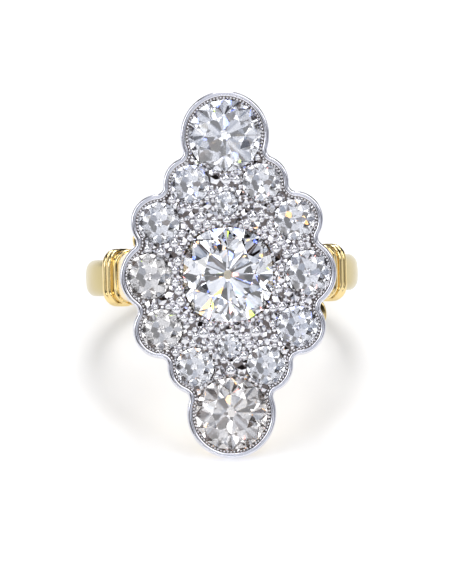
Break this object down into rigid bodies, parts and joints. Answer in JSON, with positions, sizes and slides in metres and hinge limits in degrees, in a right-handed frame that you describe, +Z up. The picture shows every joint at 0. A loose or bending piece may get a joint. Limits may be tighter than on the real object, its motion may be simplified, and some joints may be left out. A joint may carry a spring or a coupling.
{
  "type": "navette ring",
  "caption": "Navette cluster ring: lozenge head with scalloped rim and old-cut stones on a pierced gallery, and a plain band with ridged shoulders.",
  "frame": {"origin": "centre of the bounding box, on the floor under the ring as it lies", "axes": "+Z up from the floor, -Y the way the head faces as it leans back, +X to the right across the ring, the finger's axis lies in the YZ plane"},
  "size_m": [0.02, 0.0266, 0.0234],
  "materials": {
    "gold": "polished yellow gold",
    "platinum": "bright polished platinum",
    "stone": "clear cut stone, polished facets"
  },
  "bodies": {
    "root": {"shank": "gold", "head_setting": "platinum", "centre_stone": "stone", "top_stone": "stone", "bottom_stone": "stone", "upper_inner_left_stone": "stone", "upper_inner_right_stone": "stone", "upper_outer_left_stone": "stone", "upper_outer_right_stone": "stone", "waist_left_stone": "stone", "waist_right_stone": "stone", "lower_outer_left_stone": "stone", "lower_outer_right_stone": "stone", "lower_inner_left_stone": "stone", "lower_inner_right_stone": "stone", "upper_accent_stone": "stone", "lower_accent_stone": "stone"}
  },
  "joints": []
}
